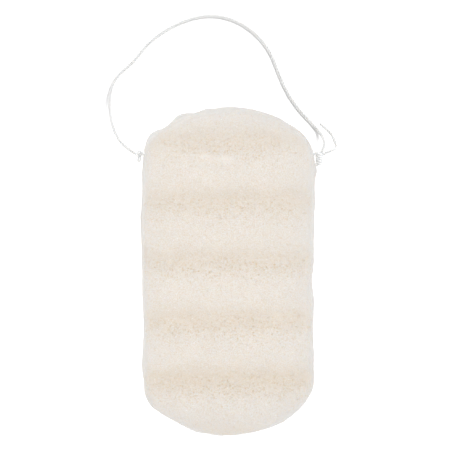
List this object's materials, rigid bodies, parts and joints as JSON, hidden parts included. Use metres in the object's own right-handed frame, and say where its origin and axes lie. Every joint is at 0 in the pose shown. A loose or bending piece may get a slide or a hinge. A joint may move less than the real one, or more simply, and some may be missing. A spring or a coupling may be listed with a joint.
{
  "type": "body sponge",
  "caption": "Flat-backed foam body sponge with soft waves across its front and a knotted string loop through one end for hanging.",
  "frame": {"origin": "middle of the sponge's flat back, which lies on the surface", "axes": "+Y along the sponge's length towards the end with the string, +X across it, +Z out of the waved front"},
  "size_m": [0.117, 0.2144, 0.031],
  "materials": {
    "sponge_foam": "fine open-pored foam, matte, slightly translucent",
    "cotton_string": "twisted cotton, matte"
  },
  "bodies": {
    "sponge": {"sponge_body": "sponge_foam"},
    "thread": {"string_through": "cotton_string"},
    "loop": {"hanging_loop": "cotton_string", "left_knot": "cotton_string", "right_knot": "cotton_string", "left_tail": "cotton_string", "right_tail": "cotton_string"}
  },
  "joints": [
    {"name": "string_slide", "type": "slide", "parent": "sponge", "child": "thread", "axis": [1, 0, 0], "range_m": [-0.0006, 0.0004]},
    {"name": "loop_swing", "type": "hinge", "parent": "thread", "child": "loop", "pos_m": [0, 0.0594, 0.013], "axis": [1, 0, 0], "range_deg": [0, 105]}
  ]
}
